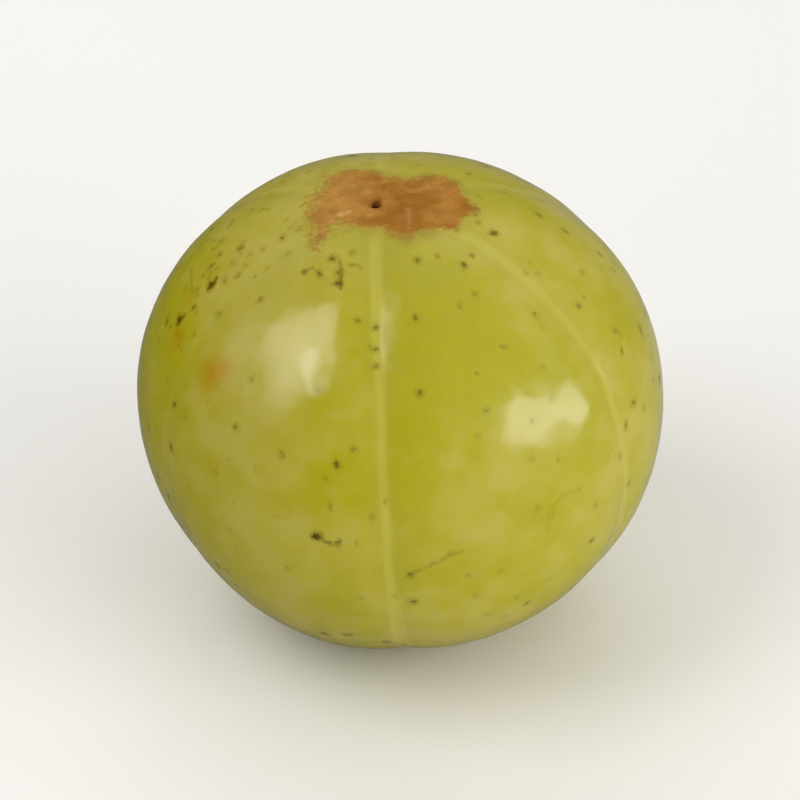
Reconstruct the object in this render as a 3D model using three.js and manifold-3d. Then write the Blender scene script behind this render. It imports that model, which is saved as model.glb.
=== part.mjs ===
// Indian gooseberry (amla): one whole fresh berry, standing on its blossom end.
// Units are millimetres, +Z is up, and the origin is at the middle of the bottom of the berry's box.
//
// The berry is a slightly squashed ball. Six faint grooves run from the stalk end to the blossom end and
// divide the skin into six lobes. The stalk end is a broad, shallow hollow with a pin-sized pit where the
// stalk let go; the blossom end is a smaller hollow. The core axis leans a little to -X, and the underside
// carries the small flat spot that the berry rests on.
import * as THREE from "three";
import { mergeVertices } from "three/addons/utils/BufferGeometryUtils.js";
import Module from "manifold-3d";

// ---- driving dimensions (mm, degrees) ----
const HALF_WIDTH = 17.74; // equatorial radius of the squashed ball
const HALF_HEIGHT = 16.72; // polar radius before the hollows and the flat spot
const LEAN_DEG = 5.5; // core axis leans to -X
const NOD_DEG = 0.2; // core axis leans to -Y

const HOLLOW_DEPTH = 0.55; // stalk-end hollow
const HOLLOW_SPREAD_DEG = 13.8;
const PIT_DEPTH = 0.55; // pin-sized pit left by the stalk
const PIT_SPREAD_DEG = 1.35;
const BLOSSOM_DEPTH = 0.75; // blossom-end hollow
const BLOSSOM_SPREAD_DEG = 4.2;

// Grooves: azimuth at 60 degrees from the stalk end, and how far it drifts per degree towards the blossom end.
const GROOVES = [
  [26.5, 0.02],
  [86.5, 0.0],
  [146.5, -0.02],
  [204.8, 0.02],
  [268.7, -0.029],
  [330.7, -0.035],
];
const GROOVE_DEPTH = 0.13;
const GROOVE_HALF_WIDTH = 1.8;
const LOBE_SWELL = 0.16; // how far the middle of a lobe stands out

// Broad swellings and flats, as [azimuth, elevation, height]: the berry is fuller round its shoulders and
// flatter low down on the -X side.
const LUMP_SHARPNESS = 4.5;
const LUMPS = [
  [0.0, 0.0, -0.297],
  [18.3, 24.2, 0.514],
  [44.8, 45.2, -0.166],
  [90.0, 55.0, -0.014],
  [135.2, 45.2, 0.241],
  [161.7, 24.2, 0.289],
  [180.0, 0.0, 0.116],
  [198.3, -24.2, -0.414],
  [224.8, -45.2, -0.03],
  [270.0, -55.0, 0.035],
  [315.2, -45.2, -0.177],
  [341.7, -24.2, 0.461],
  [72.0, -8.0, 0.22],
  [112.0, 10.0, -0.12],
  [262.0, 5.0, 0.16],
];

const FOOT_RADIUS = 3.5; // flat spot under the berry

// Mesh: six sectors, each cut into rows from the stalk end to the equator and on to the blossom end.
const ROWS = 22;
const ROW_EDGE_DEG = [0, 1.5, 3.2, 5.4, 8.2, 11.6]; // first rows, close together round the pits

const rad = THREE.MathUtils.degToRad;
const bell = (x) => Math.exp(-x * x);

const lean = new THREE.Matrix4()
  .makeRotationX(rad(NOD_DEG))
  .multiply(new THREE.Matrix4().makeRotationY(-rad(LEAN_DEG)));

const lumps = LUMPS.map(([azimuth, elevation, height]) => [
  new THREE.Vector3(
    Math.cos(rad(elevation)) * Math.cos(rad(azimuth)),
    Math.cos(rad(elevation)) * Math.sin(rad(azimuth)),
    Math.sin(rad(elevation)),
  ),
  height,
]);

const grooveAzimuth = (k, polarDeg) => {
  const [azimuth, drift] = GROOVES[((k % 6) + 6) % 6];
  return azimuth + 360 * Math.floor(k / 6) + drift * (polarDeg - 60);
};

// Colatitude of row i, counted from a pole; row ROWS is the equator.
function rowPolarDeg(i) {
  const last = ROW_EDGE_DEG.length - 1;
  if (i <= last) return ROW_EDGE_DEG[i];
  return (
    ROW_EDGE_DEG[last] + ((90 - ROW_EDGE_DEG[last]) * (i - last)) / (ROWS - last)
  );
}

// Distance from the berry's centre to its skin at a colatitude and azimuth about the core axis.
function skinRadius(polar, azimuth, direction) {
  const polarDeg = THREE.MathUtils.radToDeg(polar);
  const s = Math.sin(polar),
    c = Math.cos(polar);
  let r = 1 / Math.sqrt((s * s) / HALF_WIDTH ** 2 + (c * c) / HALF_HEIGHT ** 2);
  const across = r * s;
  r -= HOLLOW_DEPTH * bell(polarDeg / HOLLOW_SPREAD_DEG);
  r -= PIT_DEPTH * bell(polarDeg / PIT_SPREAD_DEG);
  r -= BLOSSOM_DEPTH * bell((180 - polarDeg) / BLOSSOM_SPREAD_DEG);
  for (const [towards, height] of lumps)
    r += height * Math.exp(LUMP_SHARPNESS * (direction.dot(towards) - 1));
  // Grooves fade in away from both ends, and the lobes swell between them.
  const fade =
    THREE.MathUtils.smoothstep(polarDeg, 3, 22) *
    (1 - THREE.MathUtils.smoothstep(polarDeg, 150, 176));
  let nearest = Infinity;
  for (let k = 0; k < 6; k++) {
    let gap =
      (THREE.MathUtils.radToDeg(azimuth) - grooveAzimuth(k, polarDeg)) % 360;
    if (gap > 180) gap -= 360;
    if (gap < -180) gap += 360;
    nearest = Math.min(nearest, Math.abs(gap));
  }
  r -= fade * GROOVE_DEPTH * bell((rad(nearest) * across) / GROOVE_HALF_WIDTH);
  r += fade * s * LOBE_SWELL * 0.5 * (1 - Math.cos(rad(nearest * 6)));
  return r;
}

// A six-sided double pyramid, subdivided. Its six slanting edges become the grooves.
function berrySkin() {
  const corners = [0, 0, 1, 0, 0, -1];
  const faces = [];
  for (let k = 0; k < 6; k++)
    corners.push(Math.cos(rad(60 * k)), Math.sin(rad(60 * k)), 0);
  for (let k = 0; k < 6; k++) {
    const a = 2 + k,
      b = 2 + ((k + 1) % 6);
    faces.push(0, a, b, 1, b, a);
  }
  let skin = new THREE.PolyhedronGeometry(corners, faces, 1, ROWS - 1);
  skin.deleteAttribute("normal");
  skin.deleteAttribute("uv");
  skin = mergeVertices(skin, 1e-5);
  const position = skin.attributes.position;
  const p = new THREE.Vector3();
  for (let i = 0; i < position.count; i++) {
    p.fromBufferAttribute(position, i);
    // Row and place along the row, measured on the flat face of the double pyramid.
    let angle = THREE.MathUtils.radToDeg(Math.atan2(p.y, p.x));
    if (angle < -1e-6) angle += 360;
    const sector = Math.min(5, Math.floor(angle / 60 + 1e-6));
    const off = rad(angle - 60 * sector - 30);
    const level = (Math.hypot(p.x, p.y) * Math.cos(off)) / Math.cos(rad(30));
    const row = (ROWS * level) / (level + Math.abs(p.z));
    const along = level > 1e-6 ? 0.5 + (0.5 * Math.tan(off)) / Math.tan(rad(30)) : 0;
    let polarDeg = rowPolarDeg(Math.round(row));
    if (p.z < 0) polarDeg = 180 - polarDeg;
    // Points crowd a little towards the grooves.
    const share = along - 0.045 * Math.sin(2 * Math.PI * along);
    const from = grooveAzimuth(sector, polarDeg),
      to = grooveAzimuth(sector + 1, polarDeg);
    const polar = rad(polarDeg),
      azimuth = rad(from + (to - from) * share);
    const local = new THREE.Vector3(
      Math.sin(polar) * Math.cos(azimuth),
      Math.sin(polar) * Math.sin(azimuth),
      Math.cos(polar),
    );
    const direction = local.applyMatrix4(lean);
    direction.multiplyScalar(skinRadius(polar, azimuth, direction));
    position.setXYZ(i, direction.x, direction.y, direction.z);
  }
  return skin;
}

const wasm = await Module();
wasm.setup();

function solidOf(geometry) {
  const g = geometry.clone();
  if (g.attributes.normal) g.deleteAttribute("normal");
  if (g.attributes.uv) g.deleteAttribute("uv");
  const merged = mergeVertices(g, 1e-4);
  return new wasm.Manifold(
    new wasm.Mesh({
      numProp: 3,
      vertProperties: new Float32Array(merged.attributes.position.array),
      triVerts: new Uint32Array(merged.index.array),
    }),
  );
}

function geometryOf(solid) {
  const mesh = solid.getMesh();
  const g = new THREE.BufferGeometry();
  g.setAttribute("position", new THREE.BufferAttribute(mesh.vertProperties, 3));
  g.setIndex(new THREE.BufferAttribute(mesh.triVerts, 1));
  return g;
}

// Height of the flat spot: the level at which the underside is FOOT_RADIUS wide on average.
function footLevel(skin) {
  const position = skin.attributes.position;
  const levels = [];
  for (let i = 0; i < position.count; i++) {
    const x = position.getX(i),
      y = position.getY(i),
      z = position.getZ(i);
    if (z < 0 && Math.abs(Math.hypot(x - 0.3, y) - FOOT_RADIUS) < 0.7)
      levels.push(z);
  }
  return levels.reduce((a, b) => a + b, 0) / levels.length;
}

const skin = berrySkin();
const level = footLevel(skin);
const block = new THREE.BoxGeometry(60, 60, 20).translate(0, 0, level - 10);
const berry = geometryOf(solidOf(skin).subtract(solidOf(block)));
berry.computeBoundingBox();
const box = berry.boundingBox;
berry.translate(
  -(box.min.x + box.max.x) / 2,
  -(box.min.y + box.max.y) / 2,
  -box.min.z,
);
berry.computeVertexNormals();

const flesh = new THREE.Mesh(
  berry,
  new THREE.MeshStandardMaterial({
    color: new THREE.Color().setRGB(0.69, 0.66, 0.2, THREE.SRGBColorSpace),
    roughness: 0.38,
    metalness: 0.0,
  }),
);
flesh.name = "gooseberry";

const fruit = new THREE.Group();
fruit.add(flesh);

export default fruit;
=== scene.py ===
import math

import bpy
import numpy as np
from mathutils import Matrix, Vector


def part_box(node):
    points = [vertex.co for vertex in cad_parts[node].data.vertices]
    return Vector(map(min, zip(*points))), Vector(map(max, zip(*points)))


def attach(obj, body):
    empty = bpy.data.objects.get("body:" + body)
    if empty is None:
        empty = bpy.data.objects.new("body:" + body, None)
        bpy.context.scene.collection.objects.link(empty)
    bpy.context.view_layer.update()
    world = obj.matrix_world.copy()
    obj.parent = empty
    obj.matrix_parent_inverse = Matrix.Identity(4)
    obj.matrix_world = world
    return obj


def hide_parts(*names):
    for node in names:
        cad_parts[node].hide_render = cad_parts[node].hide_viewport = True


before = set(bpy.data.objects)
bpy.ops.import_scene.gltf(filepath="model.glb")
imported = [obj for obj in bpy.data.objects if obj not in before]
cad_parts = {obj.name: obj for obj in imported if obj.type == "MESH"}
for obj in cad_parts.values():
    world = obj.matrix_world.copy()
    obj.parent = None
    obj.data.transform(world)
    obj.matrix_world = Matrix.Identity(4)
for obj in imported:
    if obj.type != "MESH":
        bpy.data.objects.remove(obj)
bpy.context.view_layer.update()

rng = np.random.default_rng(41)

# ---------------------------------------------------------------- shape of the berry (mm, degrees)
HALF_WIDTH, HALF_HEIGHT = 17.74, 16.72
LEAN_DEG, NOD_DEG = 5.5, 0.2
HOLLOW_DEPTH, HOLLOW_SPREAD = 0.55, 13.8
BLOSSOM_DEPTH, BLOSSOM_SPREAD = 0.75, 4.2
GROOVES = [(26.5, 0.02), (86.5, 0.0), (146.5, -0.02), (204.8, 0.02), (268.7, -0.029), (330.7, -0.035)]
GROOVE_DEPTH, GROOVE_HALF_WIDTH, LOBE_SWELL = 0.13, 1.8, 0.16
LUMP_SHARPNESS = 4.5
LUMPS = [
    (0.0, 0.0, -0.297), (18.3, 24.2, 0.514), (44.8, 45.2, -0.166), (90.0, 55.0, -0.014),
    (135.2, 45.2, 0.241), (161.7, 24.2, 0.289), (180.0, 0.0, 0.116), (198.3, -24.2, -0.414),
    (224.8, -45.2, -0.03), (270.0, -55.0, 0.035), (315.2, -45.2, -0.177), (341.7, -24.2, 0.461),
    (72.0, -8.0, 0.22), (112.0, 10.0, -0.12), (262.0, 5.0, 0.16),
]


def bell(x):
    return np.exp(-x * x)


def sstep(x, a, b):
    t = np.clip((x - a) / (b - a), 0.0, 1.0)
    return t * t * (3 - 2 * t)


def lean_matrix():
    l, n = -math.radians(LEAN_DEG), math.radians(NOD_DEG)
    ry = np.array([[math.cos(l), 0, math.sin(l)], [0, 1, 0], [-math.sin(l), 0, math.cos(l)]])
    rx = np.array([[1, 0, 0], [0, math.cos(n), -math.sin(n)], [0, math.sin(n), math.cos(n)]])
    return rx @ ry


LEAN = lean_matrix()


def unit(polar, azimuth):
    """Unit vector about the berry's own core axis, from colatitude and azimuth in radians."""
    return np.stack([np.sin(polar) * np.cos(azimuth), np.sin(polar) * np.sin(azimuth), np.cos(polar)], -1)


def groove_azimuth(k, polar_deg):
    base, drift = GROOVES[k % 6]
    return base + 360.0 * (k // 6) + drift * (polar_deg - 60.0)


def base_radius(polar, azimuth):
    """The berry's skin as the solid has it, without the fine relief."""
    deg = np.degrees(polar)
    s = np.sin(polar)
    r = 1 / np.sqrt(s**2 / HALF_WIDTH**2 + np.cos(polar) ** 2 / HALF_HEIGHT**2)
    across = r * s
    r = r - HOLLOW_DEPTH * bell(deg / HOLLOW_SPREAD) - BLOSSOM_DEPTH * bell((180 - deg) / BLOSSOM_SPREAD)
    towards = unit(polar, azimuth) @ LEAN.T
    for a, e, h in LUMPS:
        a, e = math.radians(a), math.radians(e)
        d = np.array([math.cos(e) * math.cos(a), math.cos(e) * math.sin(a), math.sin(e)])
        r = r + h * np.exp(LUMP_SHARPNESS * (towards @ d - 1))
    near = np.full(polar.shape, 999.0)
    for k in range(6):
        gap = (np.degrees(azimuth) - groove_azimuth(k, deg) + 180) % 360 - 180
        near = np.minimum(near, np.abs(gap))
    fade = sstep(deg, 3, 22) * (1 - sstep(deg, 150, 176))
    r = r - fade * GROOVE_DEPTH * bell(np.radians(near) * across / GROOVE_HALF_WIDTH)
    r = r + fade * s * LOBE_SWELL * 0.5 * (1 - np.cos(np.radians(near * 6)))
    return r


# ---------------------------------------------------------------- mesh: six sectors, rows from each end to the equator
ROWS = 122
fine = np.linspace(0, 90, 4001)
crowd = 1 + 1.9 * bell(fine / 7.0)
grown = np.concatenate([[0], np.cumsum((crowd[1:] + crowd[:-1]) / 2)])
ROW_POLAR = np.interp(np.linspace(0, grown[-1], ROWS + 1), grown, fine)  # degrees from an end


def ring_start(row):
    return 0 if row == 0 else 1 + 3 * row * (row - 1)


HALF_COUNT = ring_start(ROWS + 1)  # vertices from one end to the equator, both included
EQUATOR_START = ring_start(ROWS)


def vertex_index(half, row, step):
    """Index of a vertex: half 0 is the stalk end's, 1 the blossom end's; step counts round the ring."""
    step = step % (6 * row) if row else 0
    if half == 1 and row == ROWS:
        half = 0
    i = ring_start(row) + step
    return i if half == 0 else HALF_COUNT + i


polar_deg = np.zeros(HALF_COUNT + EQUATOR_START)
azimuth_deg = np.zeros_like(polar_deg)
for half in (0, 1):
    for row in range(ROWS + (half == 0)):
        deg = ROW_POLAR[row] if half == 0 else 180 - ROW_POLAR[row]
        first = vertex_index(half, row, 0)
        if row == 0:
            polar_deg[first] = deg
            continue
        steps = np.arange(6 * row)
        sector, share = steps // row, (steps % row) / row
        a = np.array([groove_azimuth(k, deg) for k in range(7)])
        share = share - 0.03 * np.sin(2 * np.pi * share)
        polar_deg[first:first + 6 * row] = deg
        azimuth_deg[first:first + 6 * row] = a[sector] + (a[sector + 1] - a[sector]) * share

faces, corner_uv = [], []
PAD = 0.006


def place_on_map(sector, half, row, step):
    """Each sector has one cell of a 3 by 2 grid, cut corner to corner between its two halves."""
    u, v = step / ROWS, 1 - row / ROWS  # the half's triangle: its end at (0, 1), the equator along v = 0
    w = 1.0 - 3 * PAD
    x, y = PAD + u * w, PAD + v * w
    if half == 1:
        x, y = 1 - x, 1 - y
    # cells are 1/3 wide and 1/2 high
    return ((sector % 3) + x) / 3, ((sector // 3) + y) / 2


for half in (0, 1):
    for sector in range(6):
        for row in range(ROWS):
            for step in range(row + 1):
                a = (row, sector * row + step, step)
                b = (row + 1, sector * (row + 1) + step, step)
                c = (row + 1, sector * (row + 1) + step + 1, step + 1)
                tris = [(a, b, c)]
                if step < row:
                    d = (row, sector * row + step + 1, step + 1)
                    tris.append((a, c, d))
                for tri in tris:
                    if half == 1:
                        tri = tri[::-1]
                    faces.append([vertex_index(half, r, s) for r, s, _ in tri])
                    corner_uv.extend(place_on_map(sector, half, r, j) for r, _, j in tri)
faces = np.array(faces, np.int32)
corner_uv = np.array(corner_uv, np.float32)

polar, azimuth = np.radians(polar_deg), np.radians(azimuth_deg)
direction = unit(polar, azimuth) @ LEAN.T
radius = base_radius(polar, azimuth)
plain = direction * radius[:, None]

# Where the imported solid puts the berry.
low, high = [np.array(v) * 1000 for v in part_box("gooseberry")]
shift = np.array([
    -(plain[:, 0].min() + plain[:, 0].max()) / 2,
    -(plain[:, 1].min() + plain[:, 1].max()) / 2,
    high[2] - plain[:, 2].max(),
])


# ---------------------------------------------------------------- smooth noise, for relief that isn't regular
def smooth_noise(p, size, seed):
    """Value noise with quintic blending over points p (mm); size is the cell in mm. About -1 to 1."""
    table = np.random.default_rng(seed).uniform(-1, 1, 4096)
    q = p / size + 100.0 + seed * 0.37
    i = np.floor(q).astype(np.int64)
    f = q - i
    f = f * f * f * (f * (f * 6 - 15) + 10)
    total = np.zeros(len(p))
    for corner in range(8):
        o = np.array([corner & 1, (corner >> 1) & 1, (corner >> 2) & 1])
        c = i + o
        key = (c[:, 0] * 73856093 ^ c[:, 1] * 19349663 ^ c[:, 2] * 83492791) % 4096
        w = np.prod(np.where(o == 1, f, 1 - f), axis=1)
        total += table[key] * w
    return total


# ---------------------------------------------------------------- distances over the skin (mm) that place the markings
def at(polar_d, azimuth_d):
    """The point on the plain skin at a colatitude and azimuth in degrees."""
    p, a = np.radians(np.atleast_1d(np.asarray(polar_d, float))), np.radians(np.atleast_1d(np.asarray(azimuth_d, float)))
    return (unit(p, a) @ LEAN.T) * base_radius(p, a)[:, None]


def flat_place(polar_d, azimuth_d):
    """Place about the stalk end, as on a flat disc, mm."""
    arc = np.radians(polar_d) * 17.2
    a = np.radians(azimuth_d)
    return np.stack([arc * np.cos(a), arc * np.sin(a)], -1)


def distance_to_line(points, line):
    best = np.full(len(points), 1e9)
    for a, b in zip(line[:-1], line[1:]):
        ab = b - a
        t = np.clip(((points - a) @ ab) / (ab @ ab), 0, 1)
        best = np.minimum(best, np.linalg.norm(points - (a + t[:, None] * ab), axis=1))
    return best


# Grooves: signed distance to the nearest one, and how clearly its pale line shows there.
groove_mm = np.full(len(polar), 99.0)
groove_side = np.zeros(len(polar))
line_strength = np.zeros(len(polar))
LINE_SHOWS = [0.6, 0.65, 0.75, 0.28, 1.0, 0.8]
DEEP = [0.4, 0.3, 0.3, 0.3, 1.0, 0.35]
SHALLOWER = [0.35, 0.55, 0.55, 0.3, 0.0, 0.1]  # the share of the solid's furrow that is filled again
groove_depth = np.zeros(len(polar))
groove_fill = np.zeros(len(polar))
across = radius * np.sin(polar)
for k in range(6):
    wander = 0.10 * smooth_noise(np.stack([polar_deg * 0.3, np.full_like(polar, 7.0 * k), np.zeros_like(polar)], 1), 2.2, 60 + k)
    gap = (azimuth_deg - groove_azimuth(k, polar_deg) + 180) % 360 - 180
    d = np.radians(gap) * across + wander
    closer = np.abs(d) < np.abs(groove_mm)
    groove_mm = np.where(closer, d, groove_mm)
    broken = 0.8 + 0.2 * smooth_noise(np.stack([polar_deg * 0.3, np.full_like(polar, 3.0 * k), np.ones_like(polar)], 1), 3.0, 80 + k)
    line_strength = np.where(closer, LINE_SHOWS[k] * broken, line_strength)
    groove_depth = np.where(closer, DEEP[k], groove_depth)
    groove_fill = np.where(closer, SHALLOWER[k], groove_fill)

# Russet patch round the stalk end: an outline on the flat disc, (colatitude, azimuth).
PATCH = [
    (17.4, 137.6), (19.2, 117.2), (15.1, 91.4), (11.1, 76.0), (15.3, 45.3), (18.8, 43.2), (22.4, 30.8),
    (21.4, 5.6), (23.5, 356.8), (21.1, 343.4), (21.3, 333.8), (17.9, 325.4), (16.0, 312.1), (16.2, 295.7),
    (11.9, 285.0), (9.3, 282.5), (9.6, 250.0), (12.0, 218.2), (16.5, 223.7), (20.4, 224.6), (17.2, 207.1), (16.0, 179.0),
    (16.6, 158.0),
]
outline = flat_place(*np.array(PATCH).T)


def signed_distance(points, ring):
    inside = np.zeros(len(points), bool)
    best = np.full(len(points), 1e9)
    for a, b in zip(ring, np.roll(ring, -1, axis=0)):
        ab = b - a
        t = np.clip(((points - a) @ ab) / (ab @ ab), 0, 1)
        best = np.minimum(best, np.linalg.norm(points - (a + t[:, None] * ab), axis=1))
        crosses = (a[1] > points[:, 1]) != (b[1] > points[:, 1])
        with np.errstate(divide="ignore", invalid="ignore"):
            x = a[0] + (points[:, 1] - a[1]) / (b[1] - a[1]) * (b[0] - a[0])
        inside ^= crosses & (points[:, 0] < x)
    return np.where(inside, -best, best)


flat = flat_place(polar_deg, azimuth_deg)
patch_mm = np.full(len(polar), 30.0)
near_top = polar_deg < 60
patch_mm[near_top] = signed_distance(flat[near_top], outline)
ragged = 0.28 * smooth_noise(plain, 1.1, 5) + 0.20 * smooth_noise(plain, 0.5, 6) + 0.12 * smooth_noise(plain, 0.27, 7)
patch_mm = patch_mm + ragged

# Brown specks in four sizes: (colatitude, azimuth, size), then more like them all round the sides that were not described.
BIG, MIDDLING, SMALL, FAINT = 42, 25, 18, 12
SPECKS = [
    (42.7, 193.8, BIG), (84.5, 252.6, BIG), (53.9, 192.7, BIG), (104.0, 271.8, MIDDLING), (79.7, 337.2, MIDDLING), (67.8, 257.7, MIDDLING),
    (24.3, 248.7, SMALL), (53.5, 279.8, MIDDLING), (32.9, 187.6, MIDDLING), (26.8, 250.6, MIDDLING), (28.8, 342.8, MIDDLING), (68.6, 206.9, MIDDLING),
    (82.3, 332.4, MIDDLING), (103.7, 316.7, MIDDLING), (94.5, 204.1, MIDDLING), (29.1, 314.3, MIDDLING), (41.1, 185.3, SMALL), (78.4, 208.9, MIDDLING),
    (64.3, 230.5, SMALL), (96.7, 204.2, SMALL), (36.7, 219.3, SMALL), (95.2, 271.9, SMALL), (97.1, 330.7, SMALL), (19.1, 218.0, FAINT),
    (104.5, 221.5, SMALL), (28.1, 322.1, SMALL), (22.8, 294.6, SMALL), (67.1, 244.3, SMALL), (23.2, 197.4, SMALL),
    (37.3, 268.6, SMALL), (42.5, 268.4, SMALL), (46.4, 268.1, SMALL), (57.6, 187.8, SMALL), (36.5, 283.6, SMALL), (104.5, 224.3, SMALL),
    (49.0, 194.9, SMALL), (15.8, 189.7, FAINT), (117.9, 293.7, FAINT), (39.7, 333.6, FAINT), (20.9, 334.4, FAINT),
    (50.9, 350.1, FAINT), (109.8, 229.0, FAINT), (36.2, 200.0, FAINT), (64.5, 261.8, FAINT), (23.7, 306.5, FAINT), (53.1, 230.7, FAINT),
    (39.5, 197.4, SMALL), (38.4, 183.0, SMALL), (35.8, 261.7, FAINT), (37.3, 301.2, FAINT), (65.4, 200.9, FAINT), (81.1, 195.9, SMALL),
    (91.3, 199.7, SMALL), (74.9, 189.4, FAINT), (52.0, 251.6, FAINT), (77.4, 256.1, FAINT), (71.3, 354.1, SMALL), (72.8, 353.3, FAINT),
    (87.4, 327.8, FAINT), (20.4, 191.7, FAINT), (24.4, 345.9, FAINT), (97.9, 284.3, FAINT), (79.7, 265.1, FAINT), (17.8, 252.0, FAINT),
    (20.8, 241.1, MIDDLING), (25.7, 238.7, MIDDLING), (26.4, 230.3, FAINT), (110.0, 225.1, SMALL), (90.7, 281.0, FAINT), (86.3, 257.1, SMALL),
    (41.9, 337.2, FAINT), (113.8, 288.7, FAINT), (38.1, 175.2, FAINT), (47.7, 323.2, FAINT), (61.7, 189.0, FAINT), (47.1, 180.3, FAINT),
]
specks = [(p, a, s) for p, a, s in SPECKS]
for _ in range(150):  # the far side
    p = math.degrees(math.acos(rng.uniform(-0.97, 0.93)))
    a = rng.uniform(-25, 180)
    if p > 112:
        a = rng.uniform(0, 360)
    specks.append((p, a % 360, float(10 + 26 * rng.random() ** 3.2)))
for p0, a0, n, sp, sa in ((44, 192, 26, 7, 7), (27, 200, 7, 4, 14), (60, 300, 10, 16, 16), (95, 290, 9, 10, 24), (80, 235, 10, 16, 14)):  # faint ones
    for _ in range(n):
        specks.append((p0 + rng.normal(0, sp), a0 + rng.normal(0, sa), float(4 + 7 * rng.random())))
for p0, a0, n, spread in ((48, 62, 9, 7), (72, 128, 12, 9), (38, 110, 8, 6), (101, 25, 9, 7), (128, 205, 7, 8)):  # loose clusters
    for _ in range(n):
        p = p0 + rng.normal(0, spread)
        specks.append((p, a0 + rng.normal(0, spread) / max(0.3, math.sin(math.radians(p))), float(10 + 22 * rng.random() ** 2)))

speck_edge = np.full(len(polar), 9.0)  # distance to the nearest speck's edge in mm, negative inside
speck_tone = np.zeros(len(polar))
wobble = 0.06 * smooth_noise(plain, 0.42, 11) + 0.05 * smooth_noise(plain, 0.22, 12)
for p, a, s in specks:
    centre = at(p, a)[0]
    rel = plain - centre
    close = np.flatnonzero((rel * rel).sum(1) < 2.6)
    if not len(close):
        continue
    size = 0.09 + 0.0062 * s  # mm, half width
    n = centre / np.linalg.norm(centre)
    t1 = np.cross(n, (0.3, 0.2, 0.93)); t1 /= np.linalg.norm(t1)
    t2 = np.cross(n, t1)
    turn, flatness = rng.uniform(0, math.pi), rng.uniform(0.62, 1.0)
    u = rel[close] @ t1 * math.cos(turn) + rel[close] @ t2 * math.sin(turn)
    v = -rel[close] @ t1 * math.sin(turn) + rel[close] @ t2 * math.cos(turn)
    edge = np.hypot(u, v / flatness) - size + wobble[close]
    nearer = edge < speck_edge[close]
    speck_edge[close] = np.where(nearer, edge, speck_edge[close])
    speck_tone[close] = np.where(nearer, min(1.0, 0.30 + s / 54.0), speck_tone[close])

# Short scratch marks: lines on the skin, (points, half width mm, strength).
MARKS = [
    ([(26.6, 230.0), (26.0, 231.0), (25.1, 231.9), (24.6, 233.6)], 0.11, 0.62),
    ([(24.7, 233.8), (25.7, 238.7), (26.6, 242.9), (27.5, 247.5), (27.5, 251.0)], 0.06, 0.36),
    ([(21.4, 246.8), (23.5, 249.1), (25.9, 250.8), (28.4, 252.8)], 0.08, 0.72),
    ([(21.3, 251.9), (21.6, 254.7), (21.5, 257.8), (22.2, 260.5)], 0.08, 0.52),
    ([(43.8, 186.6), (42.2, 186.4), (40.3, 185.9)], 0.09, 0.55),
    ([(43.3, 191.2), (41.2, 188.0)], 0.08, 0.45),
    ([(43.5, 194.3), (41.0, 193.4)], 0.20, 0.9),
    ([(47.2, 178.9), (47.4, 184.1), (47.8, 190.2)], 0.09, 0.32),
    ([(46.3, 168.1), (44.6, 167.0), (41.8, 169.4), (39.3, 173.8)], 0.08, 0.4),
    ([(40.9, 177.0), (39.1, 177.1)], 0.09, 0.45),
    ([(54.9, 193.2), (52.2, 193.5)], 0.16, 0.75),
    ([(84.5, 252.6), (86.1, 254.7), (86.2, 256.9), (85.2, 257.6)], 0.13, 0.75),
    ([(95.5, 271.1), (93.9, 274.4), (92.6, 276.9), (91.2, 281.4), (90.6, 283.6)], 0.10, 0.5),
    ([(89.2, 303.0), (87.2, 305.2), (86.3, 307.4), (86.0, 310.2), (86.8, 313.0)], 0.10, 0.28),
    ([(88.6, 305.6), (90.6, 303.4), (92.4, 303.2)], 0.09, 0.22),
    ([(57.0, 74.0), (60.5, 76.5), (63.0, 75.0), (66.0, 78.0)], 0.10, 0.5),
    ([(79.0, 40.0), (78.0, 45.0), (80.0, 49.5)], 0.09, 0.4),
    ([(88.0, 112.0), (92.0, 115.0), (94.0, 120.0)], 0.10, 0.55),
    ([(50.0, 132.0), (48.0, 136.0), (49.5, 141.0), (47.5, 144.5)], 0.09, 0.5),
    ([(110.0, 82.0), (113.0, 84.0)], 0.12, 0.6),
    ([(97.0, 168.0), (100.5, 169.0), (102.0, 172.0)], 0.10, 0.45),
]
mark_edge = np.full(len(polar), 9.0)
mark_tone = np.zeros(len(polar))
for line, half, strength in MARKS:
    pts = at(*np.array(line).T)
    close = np.flatnonzero(((plain - pts.mean(0)) ** 2).sum(1) < 64)
    d = distance_to_line(plain[close], pts) - half + 0.9 * wobble[close]
    nearer = d < mark_edge[close]
    mark_edge[close] = np.where(nearer, d, mark_edge[close])
    mark_tone[close] = np.where(nearer, strength, mark_tone[close])

# A small orange bruise on the -X side, and fainter ones elsewhere.
bruise = np.zeros(len(polar))
for p, a, size, strength in ((56.2, 217.2, 1.15, 1.0), (54.4, 220.4, 0.85, 0.95), (57.0, 196.5, 0.8, 0.55), (49.0, 190.5, 0.5, 0.5), (84.0, 70.0, 0.9, 0.7), (62.0, 150.0, 0.6, 0.5), (118.0, 20.0, 0.9, 0.5)):
    d = np.linalg.norm(plain - at(p, a)[0], axis=1)
    bruise = np.maximum(bruise, strength * bell(d / size))

# The patch isn't even: light grains of cork, darker smudges at its edge, and a left edge that frays into dots.
def spots(listed):
    value = np.zeros(len(polar))
    for p, a, size, strength in listed:
        value = np.maximum(value, strength * bell(np.linalg.norm(plain - at(p, a)[0], axis=1) / size))
    return value


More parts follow.
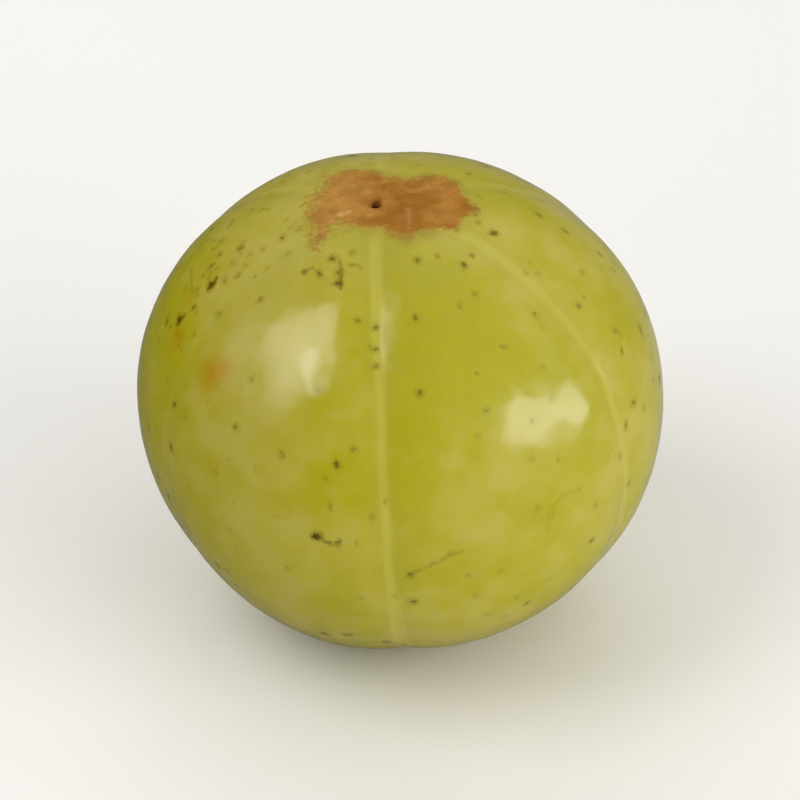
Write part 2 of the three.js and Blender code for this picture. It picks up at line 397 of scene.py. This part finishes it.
grain_at = spots([
    (8.9, 200.3, 0.24, 1.0), (6.6, 199.5, 0.20, 0.8), (7.6, 203.0, 0.16, 0.7), (11.8, 207.0, 0.20, 0.6), (5.8, 110.1, 0.26, 0.40),
    (10.1, 122.2, 0.24, 0.45), (9.8, 78.8, 0.22, 0.3), (8.0, 341.3, 0.20, 0.35), (8.7, 333.0, 0.20, 0.42), (9.5, 325.6, 0.20, 0.45), (10.4, 318.6, 0.20, 0.42), (11.4, 312.4, 0.20, 0.36), (12.6, 306.5, 0.20, 0.30),
    (13.5, 168.0, 0.24, 0.5), (14.2, 30.0, 0.34, 0.2), (17.0, 345.0, 0.40, 0.25), (14.8, 214.0, 0.18, 0.5), (4.6, 250.0, 0.18, 0.5),
])
dark_at = spots([
    (8.3, 66.3, 0.5, 0.7), (5.6, 30.0, 0.5, 0.9), (6.3, 330.0, 0.5, 0.6), (12.5, 45.7, 0.7, 0.7), (16.5, 27.8, 0.6, 0.4),
    (2.6, 300.0, 0.45, 0.8), (2.4, 150.0, 0.5, 0.5), (19.0, 340.0, 0.7, 0.35), (12.0, 0.0, 1.1, 0.3), (15.0, 200.0, 0.4, 0.35),
])
smudge = spots([
    (16.0, 43.0, 0.55, 0.9), (21.4, 28.7, 0.5, 0.6), (22.8, 356.3, 0.4, 0.8), (14.2, 87.4, 0.5, 0.5), (15.6, 298.0, 0.6, 0.6),
    (16.9, 314.0, 0.6, 0.55), (13.2, 288.0, 0.45, 0.4), (17.4, 222.0, 0.4, 0.35), (11.6, 258.0, 0.5, 0.35),
])
frayed = sstep(np.cos(azimuth - math.radians(188.0)), 0.15, 0.75) * sstep(polar_deg, 6, 11)
left_part = sstep(-flat[:, 0], -0.6, 2.2)

# Pale clouds and clearer yellow ones: (colatitude, azimuth, size mm, strength; negative is clearer). The pale ones are
# chalky bloom; the strong pale ones high on the left (azimuth 205 to 222) and on the right (azimuth 349 to 351) also
# paint in the sheen of a bright surround.
BLOOM_SHEEN_CLOUDS = [
    (27, 205, 5.0, 2.6), (36, 222, 4.0, 1.8), (22, 238, 3.6, 0.8), (26, 335, 5.5, 0.3), (42, 349, 5.0, 2.3),
    (22, 308, 3.2, 0.5), (84, 338, 5.5, 0.9), (98, 316, 6.0, 1.0), (62, 351, 5.0, 2.1), (108, 254, 5.5, 0.5),
    (112, 288, 6.0, 0.5), (55, 288, 6.0, -0.9), (74, 282, 6.5, -0.9), (46, 311, 5.0, -1.1), (44, 209, 4.0, 1.0),
    (58, 60, 6.5, 0.8), (88, 108, 7.0, -0.8), (38, 118, 5.5, 0.8), (100, 28, 6.5, 0.6), (70, 168, 5.5, -0.6),
    (118, 148, 6.5, 0.7), (46, 20, 5.0, -0.5), (76, 50, 5.0, -0.6), (62, 142, 5.0, 0.5), (128, 60, 6.0, -0.5),
    (132, 215, 6.0, 0.5), (136, 330, 6.0, -0.4), (64, 247, 4.0, 0.8), (77, 247, 4.6, 1.4), (92, 247, 5.0, 1.4),
    (72, 337, 4.0, 0.8), (110, 268, 6.0, 0.8), (90, 264, 3.5, 0.4), (74, 263, 3.2, -0.7),
]
# Summed pale and clear clouds; the strong pale ones high on the left and right are a painted sheen as well as bloom.
cloud_bloom_and_sheen = np.zeros(len(polar))
for p, a, size, strength in BLOOM_SHEEN_CLOUDS:
    cloud_bloom_and_sheen += strength * bell(np.linalg.norm(plain - at(p, a)[0], axis=1) / size)

# Soft tone noises, 0 to 1 about a half: broad clouds, mottling, the wax's gloss, and two for the russet patch.
def layered(size, seed, steps, amount=0.21, fall=0.56):
    total = np.full(len(polar), 0.5)
    for i in range(steps):
        total += amount * fall**i * smooth_noise(plain, size / 2**i, seed + i)
    return total


tone_clouds = layered(8.5, 101, 3) + 0.10 * cloud_bloom_and_sheen
tone_mottle = layered(1.75, 111, 3)
tone_wax = layered(1.3, 121, 2)
tone_russet = layered(1.25, 131, 2)
tone_corky = layered(1.4, 141, 2)

# Distances from the stalk end and the blossom end, for the paler, drier look round the stalk end and for the blossom's
# marks.
stalk_mm = np.radians(polar_deg) * 17.2
blossom_mm = np.radians(180 - polar_deg) * 17.0

# ---------------------------------------------------------------- fine relief (mm along the outward direction)
patch_in = 1 - sstep(patch_mm, -0.25, 0.12)
waves = 0.018 * smooth_noise(plain, 5.0, 21) + 0.016 * smooth_noise(plain, 2.2, 22) + 0.0145 * smooth_noise(plain, 1.15, 23) + 0.0036 * smooth_noise(plain, 0.6, 24)
relief = waves
line_fade = sstep(polar_deg, 10, 17) * (1 - sstep(polar_deg, 160, 172))
# Grooves: the solid's broad furrow, deepened here, with a narrower valley and a fine seam along its bottom.
deeper = groove_depth * sstep(polar_deg, 9, 24) * (1 - 0.45 * sstep(polar_deg, 70, 125)) * (1 - sstep(polar_deg, 150, 172))
relief -= deeper * (0.072 * bell(groove_mm / 1.9) + 0.046 * bell(groove_mm / 0.70))
relief += groove_fill * GROOVE_DEPTH * sstep(polar_deg, 3, 22) * (1 - sstep(polar_deg, 150, 176)) * bell(groove_mm / GROOVE_HALF_WIDTH)
relief -= 0.012 * line_fade * bell(groove_mm / 0.22)
relief -= 0.020 * speck_tone * (1 - sstep(speck_edge, -0.12, 0.10))
relief -= 0.022 * mark_tone * (1 - sstep(mark_edge, -0.08, 0.10))
crust = smooth_noise(plain, 0.55, 31) * 0.5 + smooth_noise(plain, 0.28, 32) * 0.35
relief += patch_in * (0.022 + 0.024 * crust + 0.055 * grain_at - 0.03 * dark_at)
relief += 0.018 * bell((patch_mm + 0.12) / 0.22)
# The pit where the stalk let go: a pin hole in a low ring.
pit = stalk_mm * (1.22 + 0.24 * np.cos(2 * azimuth + 0.3) + 0.12 * np.cos(3 * azimuth - 1.1)) + 0.09 * smooth_noise(plain, 0.4, 33)
relief += (0.06 + 0.03 * smooth_noise(plain, 0.45, 35)) * bell((pit - 0.80) / 0.28) - 0.75 * (1 - sstep(pit, 0.14, 0.56))
# Dried blossom stub: a low, ragged button in the lower hollow.
lobes = 1 + 0.22 * np.cos(6 * azimuth)
relief += 0.26 * (1 - sstep(blossom_mm, 0.30 * lobes, 0.62 * lobes)) + 0.03 * smooth_noise(plain, 0.3, 34) * bell(blossom_mm / 0.9)

berry_mm = direction * (radius + relief)[:, None] + shift
# The flat spot: everything below the surface that the berry rests on is pressed up to it, with a soft rim.
z = berry_mm[:, 2]
soft = 0.10
pressed = 0.5 * (z + np.sqrt(z * z + soft * soft))
berry_mm[:, 2] = np.where(z < 1.0, pressed, z)
berry_mm[:, 2] -= min(0.0, berry_mm[:, 2].min())

me = bpy.data.meshes.new("berry_skin")
me.vertices.add(len(berry_mm))
me.vertices.foreach_set("co", (berry_mm / 1000).astype(np.float32).ravel())
me.loops.add(len(faces) * 3)
me.loops.foreach_set("vertex_index", faces.ravel())
me.polygons.add(len(faces))
me.polygons.foreach_set("loop_start", np.arange(0, len(faces) * 3, 3, dtype=np.int32))
me.polygons.foreach_set("loop_total", np.full(len(faces), 3, np.int32))
me.update(calc_edges=True)
me.validate()
me.shade_smooth()
uv = me.uv_layers.new(name="OFBake")
uv.data.foreach_set("uv", corner_uv.ravel())

for name, values in {
    "groove_mm": groove_mm, "line_strength": line_strength * line_fade, "patch_mm": patch_mm,
    "speck_edge": speck_edge, "speck_tone": speck_tone, "mark_edge": mark_edge, "mark_tone": mark_tone,
    "bruise": bruise, "tone_clouds": tone_clouds, "tone_mottle": tone_mottle, "tone_wax": tone_wax,
    "tone_russet": tone_russet, "tone_corky": tone_corky, "stalk_mm": stalk_mm, "blossom_mm": blossom_mm, "pit_mm": pit,
    "line_wide": 1.0 + 0.45 * (1 - sstep(polar_deg, 30, 55)) + 0.9 * sstep(polar_deg, 92, 122),
    "grain_at": grain_at, "dark_at": dark_at, "smudge": smudge, "frayed": frayed, "left_part": left_part,
}.items():
    layer = me.attributes.new(name, "FLOAT", "POINT")
    layer.data.foreach_set("value", values.astype(np.float32))

berry = bpy.data.objects.new("berry_skin", me)
bpy.context.scene.collection.objects.link(berry)


# ---------------------------------------------------------------- skin material
def srgb(r, g, b):
    def one(c):
        c /= 255
        return c / 12.92 if c <= 0.04045 else ((c + 0.055) / 1.055) ** 2.4
    return (one(r), one(g), one(b), 1.0)


class Nodes:
    """Small helpers, so that the skin's layers below read as a list."""

    def __init__(self, tree):
        self.t = tree
        self.n = 0

    def new(self, kind, **props):
        node = self.t.nodes.new(kind)
        node.location = ((self.n % 12) * 190, -(self.n // 12) * 260)
        self.n += 1
        for k, v in props.items():
            setattr(node, k, v)
        return node

    def put(self, socket, value):
        if isinstance(value, bpy.types.NodeSocket):
            self.t.links.new(value, socket)
        else:
            socket.default_value = value

    def attr(self, name):
        return self.new("ShaderNodeAttribute", attribute_name=name).outputs["Fac"]

    def math(self, op, a, b=0.0, c=0.0, clamp=False):
        node = self.new("ShaderNodeMath", operation=op, use_clamp=clamp)
        for i, v in enumerate((a, b, c)):
            self.put(node.inputs[i], v)
        return node.outputs[0]

    def range(self, value, a, b, to0=0.0, to1=1.0, smooth=True):
        node = self.new("ShaderNodeMapRange", interpolation_type="SMOOTHSTEP" if smooth else "LINEAR")
        for name, v in zip(("Value", "From Min", "From Max", "To Min", "To Max"), (value, a, b, to0, to1)):
            self.put(node.inputs[name], v)
        return node.outputs[0]

    def mix(self, fac, a, b, blend="MIX"):
        node = self.new("ShaderNodeMix", data_type="RGBA", blend_type=blend)
        self.put(node.inputs[0], fac)
        self.put(node.inputs[6], a)
        self.put(node.inputs[7], b)
        return node.outputs[2]

    def noise(self, vector, scale, detail=2.0, rough=0.5, distortion=0.0):
        node = self.new("ShaderNodeTexNoise")
        self.put(node.inputs["Vector"], vector)
        for name, v in (("Scale", scale), ("Detail", detail), ("Roughness", rough), ("Distortion", distortion)):
            node.inputs[name].default_value = v
        return node.outputs["Fac"]


mat = bpy.data.materials.new("gooseberry_skin")
mat.use_nodes = True
nt = mat.node_tree
nt.nodes.clear()
g = Nodes(nt)
out = g.new("ShaderNodeOutputMaterial")
skin = g.new("ShaderNodeBsdfPrincipled")
nt.links.new(skin.outputs[0], out.inputs["Surface"])

where = g.new("ShaderNodeTexCoord").outputs["Object"]
scaled = g.new("ShaderNodeVectorMath", operation="SCALE")
g.put(scaled.inputs[0], where)
scaled.inputs["Scale"].default_value = 1000.0
mm = scaled.outputs[0]  # object place in mm

clouds = g.attr("tone_clouds")
mottle = g.attr("tone_mottle")
fine_mottle = g.noise(mm, 2.2, 2.0, 0.6)
grain = g.noise(mm, 7.0, 1.0, 0.6)

SATURATED = srgb(174, 167, 0)
MIDDLE = srgb(180, 170, 22)
PALE_BLOOM_AND_SHEEN = srgb(192, 180, 85)
cloud_mask = g.range(clouds, 0.36, 0.64)
colour = g.mix(cloud_mask, SATURATED, MIDDLE)
# Pale chalky bloom, which where the strong pale clouds sit high on the left and right is also a painted sheen.
bloom_and_sheen_mask = g.math("MULTIPLY", g.range(g.math("ADD", g.math("MULTIPLY", clouds, 0.6), g.math("MULTIPLY", mottle, 0.4)), 0.42, 0.72), 0.70)
colour = g.mix(bloom_and_sheen_mask, colour, PALE_BLOOM_AND_SHEEN)
# Drier and greyer round the stalk end.
stalk = g.attr("stalk_mm")
dry = g.math("MULTIPLY", g.range(g.math("ADD", stalk, g.math("MULTIPLY", mottle, 6.0)), 6.0, 15.0, 1.0, 0.0), 0.38)
colour = g.mix(dry, colour, srgb(184, 174, 88))
# Fine mottling under the wax.
colour = g.mix(g.math("MULTIPLY", g.range(fine_mottle, 0.30, 0.70), 0.10), colour, srgb(192, 184, 100))
colour = g.mix(g.math("MULTIPLY", g.range(mottle, 0.25, 0.60, 1.0, 0.0), 0.12), colour, srgb(152, 144, 10))

# Groove: a broad pale band and a thin clearer line.
groove = g.math("ABSOLUTE", g.attr("groove_mm"))
strength = g.attr("line_strength")
band = g.math("MULTIPLY", g.range(groove, 0.3, 1.7, 1.0, 0.0), g.math("MULTIPLY", strength, 0.16))
colour = g.mix(band, colour, srgb(186, 175, 84))
edge = g.math("ADD", groove, g.math("MULTIPLY", g.math("SUBTRACT", fine_mottle, 0.5), 0.25))
line = g.math("MULTIPLY", g.range(g.math("DIVIDE", edge, g.attr("line_wide")), 0.12, 0.46, 1.0, 0.0), g.math("MULTIPLY", strength, 0.72))
colour = g.mix(line, colour, srgb(196, 187, 76))
beside = g.math("MULTIPLY", g.math("MULTIPLY", g.range(edge, 0.42, 0.62, 0.0, 1.0), g.range(edge, 0.7, 1.3, 1.0, 0.0)), g.math("MULTIPLY", strength, 0.12))
colour = g.mix(beside, colour, srgb(154, 142, 18))

# Bruises.
colour = g.mix(g.math("MULTIPLY", g.attr("bruise"), 0.74), colour, srgb(188, 136, 8))

# Specks and marks.
fray = g.math("ADD", g.math("MULTIPLY", g.math("SUBTRACT", grain, 0.5), 0.22), g.math("MULTIPLY", g.math("SUBTRACT", g.noise(mm, 3.4, 1.0, 0.5), 0.5), 0.34))
speck_at = g.math("ADD", g.attr("speck_edge"), fray)
halo = g.math("MULTIPLY", g.range(speck_at, 0.0, 0.40, 1.0, 0.0), g.math("MULTIPLY", g.attr("speck_tone"), 0.55))
colour = g.mix(halo, colour, srgb(140, 124, 0))
speck = g.math("MULTIPLY", g.range(speck_at, -0.15, 0.09, 1.0, 0.0), g.attr("speck_tone"))
colour = g.mix(speck, colour, srgb(84, 67, 0))
mark_at = g.math("ADD", g.attr("mark_edge"), g.math("MULTIPLY", fray, 0.7))
mark = g.math("MULTIPLY", g.range(mark_at, -0.14, 0.14, 1.0, 0.0), g.attr("mark_tone"))
colour = g.mix(g.math("MULTIPLY", mark, 0.9), colour, srgb(96, 78, 0))

# Tiny pores, scattered thinly all over.
pores = g.new("ShaderNodeTexVoronoi", feature="F1")
g.put(pores.inputs["Vector"], mm)
pores.inputs["Scale"].default_value = 0.55
pores.inputs["Randomness"].default_value = 1.0
pore_size = g.range(g.new("ShaderNodeSeparateColor").inputs[0].node.outputs[0], 0.0, 1.0, 0.0, 1.0, False)
sep = pore_size.node.inputs["Value"].links[0].from_node
nt.links.new(pores.outputs["Color"], sep.inputs[0])
pore_rim = g.math("ADD", g.math("MULTIPLY", pores.outputs["Distance"], 1.0), g.math("MULTIPLY", g.math("SUBTRACT", grain, 0.5), 0.10))
pore = g.math("MULTIPLY", g.range(pore_rim, 0.05, 0.12, 1.0, 0.0), g.math("GREATER_THAN", pore_size, 0.62))
colour = g.mix(g.math("MULTIPLY", pore, 0.42), colour, srgb(118, 106, 24))

# Russet patch: corky skin, its edge broken into dots on the left, with darker creases and light grains.
dots = g.new("ShaderNodeTexVoronoi", feature="F1")
g.put(dots.inputs["Vector"], mm)
dots.inputs["Scale"].default_value = 2.3
edge_noise = g.math("SUBTRACT", g.noise(mm, 2.0, 3.0, 0.62), 0.5)
patch_edge = g.math("ADD", g.attr("patch_mm"), g.math("MULTIPLY", edge_noise, 1.0))
frayed = g.attr("frayed")
fringe = g.math("MULTIPLY", g.math("SUBTRACT", g.noise(mm, 2.9, 1.0, 0.5), 0.47), g.math("MULTIPLY", frayed, 3.2))
fringe = g.math("MULTIPLY", fringe, g.range(g.attr("patch_mm"), -1.9, -0.5, 0.0, 1.0))
patch_edge = g.math("ADD", patch_edge, fringe)
patch = g.range(patch_edge, g.math("SUBTRACT", -0.40, g.math("MULTIPLY", frayed, 0.45)), g.math("ADD", 0.22, g.math("MULTIPLY", frayed, 0.30)), 1.0, 0.0)
russet = g.mix(g.range(g.attr("tone_russet"), 0.34, 0.66), srgb(157, 99, 23), srgb(186, 128, 52))
russet = g.mix(g.math("MULTIPLY", g.attr("left_part"), 0.45), russet, srgb(191, 144, 70))
russet = g.mix(g.math("MULTIPLY", g.attr("dark_at"), 0.40), russet, srgb(134, 74, 16))
grains = g.range(dots.outputs["Distance"], 0.10, 0.44, 1.0, 0.0)
russet = g.mix(g.math("MULTIPLY", grains, g.range(g.attr("tone_corky"), 0.45, 0.68, 0.0, 0.36)), russet, srgb(208, 156, 90))
russet = g.mix(g.math("MULTIPLY", g.range(g.noise(mm, 1.3, 2.0, 0.6, 1.0), 0.30, 0.50, 1.0, 0.0), 0.30), russet, srgb(142, 84, 16))
crease_noise = g.noise(mm, 2.2, 3.0, 0.65, 0.8)
creases = g.math("MULTIPLY", g.range(crease_noise, 0.46, 0.50, 0.0, 1.0), g.range(crease_noise, 0.50, 0.545, 1.0, 0.0))
russet = g.mix(g.math("MULTIPLY", creases, 0.24), russet, srgb(114, 64, 10))
rim = g.math("MULTIPLY", g.range(patch_edge, -0.85, -0.1, 0.0, 1.0), 0.42)
russet = g.mix(rim, russet, srgb(160, 116, 36))
russet = g.mix(g.math("MULTIPLY", g.attr("grain_at"), 0.70), russet, srgb(226, 178, 116))
blush = g.math("MULTIPLY", g.range(patch_edge, -0.1, 1.0, 1.0, 0.0), 0.34)
colour = g.mix(blush, colour, srgb(170, 142, 40))
# loose dots of cork just outside the edge
loose = g.math("MULTIPLY", g.range(dots.outputs["Distance"], 0.10, 0.30, 1.0, 0.0), g.range(patch_edge, 0.0, 1.2, 0.70, 0.0))
colour = g.mix(loose, colour, srgb(160, 108, 18))
colour = g.mix(g.math("MULTIPLY", patch, 0.95), colour, russet)
colour = g.mix(g.math("MULTIPLY", g.attr("smudge"), 0.62), colour, srgb(126, 104, 28))

# The pit and the dried blossom.
pit_at = g.math("ADD", g.attr("pit_mm"), g.math("MULTIPLY", g.math("SUBTRACT", fine_mottle, 0.5), 0.35))
colour = g.mix(g.math("MULTIPLY", g.range(pit_at, 0.45, 0.95, 1.0, 0.0), 0.55), colour, srgb(126, 62, 18))
pit_dark = g.range(pit_at, 0.26, 0.58, 1.0, 0.0)
colour = g.mix(g.math("MULTIPLY", pit_dark, 0.97), colour, srgb(58, 22, 4))
blossom = g.attr("blossom_mm")
colour = g.mix(g.math("MULTIPLY", g.range(g.math("ADD", blossom, g.math("MULTIPLY", fine_mottle, 1.4)), 1.4, 3.0, 1.0, 0.0), 0.75), colour, srgb(150, 118, 50))
colour = g.mix(g.range(g.math("ADD", blossom, g.math("MULTIPLY", grain, 0.3)), 0.55, 0.95, 1.0, 0.0), colour, srgb(74, 46, 18))

nt.links.new(colour, skin.inputs["Base Color"])

wax = g.math("ADD", g.math("MULTIPLY", g.attr("tone_wax"), 0.75), g.math("MULTIPLY", fine_mottle, 0.25))
rough = g.range(wax, 0.44, 0.66, 0.13, 0.23)
rough = g.math("ADD", rough, g.math("MULTIPLY", bloom_and_sheen_mask, 0.05))
rough = g.math("ADD", rough, g.math("MULTIPLY", patch, 0.34))
rough = g.math("ADD", rough, g.math("MULTIPLY", speck, 0.15))
rough = g.math("ADD", rough, g.math("MULTIPLY", dry, 0.10))
nt.links.new(rough, skin.inputs["Roughness"])

height = g.math("MULTIPLY", g.math("SUBTRACT", g.noise(mm, 4.0, 1.0, 0.5), 0.5), 0.0022)
height = g.math("SUBTRACT", height, g.math("MULTIPLY", pore, 0.003))
crusty = g.math("ADD", g.math("MULTIPLY", g.math("SUBTRACT", g.noise(mm, 3.0, 2.0, 0.6), 0.5), 0.10), g.math("MULTIPLY", grains, 0.02))
height = g.math("ADD", height, g.math("MULTIPLY", crusty, g.range(g.attr("patch_mm"), -0.4, 0.1, 1.0, 0.0)))
bump = g.new("ShaderNodeBump")
bump.inputs["Strength"].default_value = 1.0
bump.inputs["Distance"].default_value = 0.001  # height is in mm
nt.links.new(height, bump.inputs["Height"])
nt.links.new(bump.outputs[0], skin.inputs["Normal"])

skin.subsurface_method = "RANDOM_WALK"
solid_spots = g.math("MAXIMUM", g.math("MULTIPLY", patch, 0.80), g.math("MAXIMUM", g.math("MULTIPLY", speck, 0.9), mark))
nt.links.new(g.math("MULTIPLY", g.math("SUBTRACT", 1.0, solid_spots), 0.35), skin.inputs["Subsurface Weight"])
skin.inputs["Subsurface Radius"].default_value = (1.0, 0.85, 0.25)
skin.inputs["Subsurface Scale"].default_value = 0.0016
skin.inputs["Metallic"].default_value = 0.0
skin.inputs["IOR"].default_value = 1.45
nt.links.new(g.math("SUBTRACT", 0.5, g.math("MULTIPLY", g.math("MAXIMUM", patch, speck), 0.34)), skin.inputs["Specular IOR Level"])

me.materials.append(mat)
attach(berry, "root")
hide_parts("gooseberry")

# ---------------------------------------------------------------- floor, light and camera
scene = bpy.context.scene
centre = Vector((0.0, 0.0, float(shift[2]) / 1000))

floor_me = bpy.data.meshes.new("floor")
S = 3.0
floor_me.from_pydata([(-S, -S, 0), (S, -S, 0), (S, S, 0), (-S, S, 0)], [], [(0, 1, 2, 3)])
floor = bpy.data.objects.new("floor", floor_me)
scene.collection.objects.link(floor)
fmat = bpy.data.materials.new("floor_paper")
fmat.use_nodes = True
ft = fmat.node_tree
fb = ft.nodes["Principled BSDF"]
fb.inputs["Roughness"].default_value = 0.8
fb.inputs["Specular IOR Level"].default_value = 0.15
f = Nodes(ft)
spot = f.new("ShaderNodeSeparateXYZ")
floor_place = f.new("ShaderNodeTexCoord").outputs["Object"]
ft.links.new(floor_place, spot.inputs[0])
# The paper throws less light back from the left and from behind, as with black cards held there.
bounce = f.math("MULTIPLY", f.range(spot.outputs[0], -0.07, 0.05, 0.36, 0.92), f.range(spot.outputs[1], 0.0, 0.09, 1.0, 0.50))
path = f.new("ShaderNodeLightPath")
bounce = f.math("MINIMUM", f.math("MULTIPLY", bounce, f.range(spot.outputs[1], -0.05, -0.004, 1.45, 1.0)), 1.0)
bounce = f.math("MULTIPLY", bounce, f.math("SUBTRACT", 1.0, f.math("MULTIPLY", path.outputs["Is Glossy Ray"], f.range(spot.outputs[0], -0.06, 0.01, 0.78, 0.42))))
direct = path.outputs["Is Camera Ray"]
paper = f.math("ADD", f.math("MULTIPLY", direct, 0.95), f.math("MULTIPLY", f.math("SUBTRACT", 1.0, direct), bounce))
tint = f.new("ShaderNodeCombineColor")
for i in range(3):
    ft.links.new(paper, tint.inputs[i])
ft.links.new(f.mix(1.0, tint.outputs[0], (1.0, 0.995, 0.98, 1), "MULTIPLY"), fb.inputs["Base Color"])
# Far off it runs into the backdrop without a line.
away = f.new("ShaderNodeVectorMath", operation="LENGTH")
ft.links.new(floor_place, away.inputs[0])
glow = f.new("ShaderNodeEmission")
glow.inputs["Color"].default_value = (1.0, 0.99, 0.97, 1)
glow.inputs["Strength"].default_value = 0.9
blend = f.new("ShaderNodeMixShader")
ft.links.new(f.math("MULTIPLY", direct, f.range(away.outputs["Value"], 0.08, 0.60)), blend.inputs[0])
ft.links.new(fb.outputs[0], blend.inputs[1])
ft.links.new(glow.outputs[0], blend.inputs[2])
ft.links.new(blend.outputs[0], ft.nodes["Material Output"].inputs["Surface"])
floor_me.materials.append(fmat)

world = bpy.data.worlds.new("studio")
scene.world = world
world.use_nodes = True
wt = world.node_tree
bg = wt.nodes["Background"]
bg.inputs["Color"].default_value = (1.0, 0.99, 0.97, 1)
w = Nodes(wt)
toward = w.new("ShaderNodeSeparateXYZ")
wt.links.new(w.new("ShaderNodeTexCoord").outputs["Generated"], toward.inputs[0])
# The room is brighter to the right and overhead; the backdrop itself stays evenly pale.
side = w.range(toward.outputs[0], -0.9, 0.8, 0.12, 0.66)
side = w.math("ADD", side, w.range(toward.outputs[2], 0.2, 1.0, 0.0, 0.12))
low_back = w.math("MULTIPLY", w.range(toward.outputs[1], 0.0, 0.8, 0.0, 0.70), w.range(toward.outputs[2], 0.25, 0.7, 1.0, 0.0))
side = w.math("MULTIPLY", side, w.math("SUBTRACT", 1.0, low_back))
path = w.new("ShaderNodeLightPath")
dim = w.math("MULTIPLY", path.outputs["Is Glossy Ray"], w.range(toward.outputs[0], -0.9, 0.2, 0.75, 0.0))
side = w.math("MULTIPLY", side, w.math("SUBTRACT", 1.0, dim))
shown = path.outputs["Is Camera Ray"]
room = w.math("ADD", w.math("MULTIPLY", shown, 0.9), w.math("MULTIPLY", w.math("SUBTRACT", 1.0, shown), side))
wt.links.new(room, bg.inputs["Strength"])


def softbox(name, direction, across, width, height, radiance, distance=0.62, lights="both", colour=(1, 0.985, 0.96),
            shape="RECTANGLE"):
    """An area light that shines at the berry. across is the way its width runs, and radiance is its brightness where
    white paper is about 1. lights is "gloss" for a window that only shows in the shine, or "body" for one that only lights."""
    z = Vector(direction).normalized()
    x = Vector(across)
    x = (x - x.dot(z) * z).normalized()
    y = z.cross(x)
    data = bpy.data.lights.new(name, "AREA")
    data.shape = shape
    data.size, data.size_y = width, height
    data.energy = radiance * math.pi * width * height
    data.color = colour
    ob = bpy.data.objects.new(name, data)
    scene.collection.objects.link(ob)
    ob.matrix_world = Matrix.Translation(centre + z * distance) @ Matrix((x, y, z)).transposed().to_4x4()
    if lights == "gloss":
        ob.visible_diffuse = False
    if lights == "body":
        ob.visible_glossy = False
    return ob


# The windows that show in the shine.
softbox("left_pane_a", (-0.796, -0.160, 0.584), (0.595, -0.390, 0.703), 0.103, 0.308, 3.3, lights="gloss")
softbox("left_pane_b", (-0.633, -0.251, 0.732), (0.752, -0.424, 0.505), 0.214, 0.376, 4.4, lights="gloss")
softbox("left_pane_c", (-0.403, -0.248, 0.881), (0.896, -0.300, 0.326), 0.106, 0.288, 4.3, lights="gloss")
softbox("left_glow", (-0.557, -0.428, 0.712), (0.90, 0.05, 0.55), 0.110, 0.200, 4.0, lights="gloss")
softbox("left_far", (-0.916, 0.067, 0.396), (0.251, -0.674, 0.695), 0.274, 0.275, 0.9, lights="gloss")
softbox("right_pane_a", (0.860, -0.437, 0.265), (0.511, 0.724, -0.464), 0.353, 0.230, 4.8, lights="gloss", shape="ELLIPSE")
softbox("right_pane_b", (0.988, -0.080, 0.136), (0.144, 0.806, -0.574), 0.232, 0.181, 4.4, lights="gloss", shape="ELLIPSE")
softbox("right_strip", (0.885, 0.044, 0.463), (0.276, 0.752, -0.599), 0.114, 0.187, 0.9, lights="gloss")
# The light on the body.
softbox("left_key", (-0.58, -0.20, 0.79), (1, 0, 0), 0.40, 0.40, 2.45, lights="body")
softbox("left_fill", (-0.75, -0.52, 0.41), (0, 1, 0), 0.50, 0.40, 0.85, lights="body")
softbox("right_key", (0.78, -0.52, 0.34), (0, 1, 0), 0.50, 0.40, 2.6, lights="body")
softbox("back_fill", (-0.25, 0.85, 0.48), (1, 0, 0), 0.60, 0.40, 1.7, lights="body")

ELEVATION = math.radians(35.4)
DISTANCE = 0.45
cam_data = bpy.data.cameras.new("camera")
cam_data.sensor_width = 36.0
cam = bpy.data.objects.new("camera", cam_data)
scene.collection.objects.link(cam)
look = Vector((0.0, 0.0, 0.0164))
cam.location = look + Vector((0, -math.cos(ELEVATION), math.sin(ELEVATION))) * DISTANCE
cam.rotation_euler = (look - cam.location).to_track_quat("-Z", "Y").to_euler()
# The berry takes up about two thirds of the width.
cam_data.lens = 36.0 * DISTANCE / (0.0362 / 0.66)
cam_data.clip_start, cam_data.clip_end = 0.02, 20.0
scene.camera = cam

scene.view_settings.view_transform = "Standard"
scene.view_settings.look = "None"
scene.view_settings.exposure = 0.0
scene.view_settings.gamma = 1.0
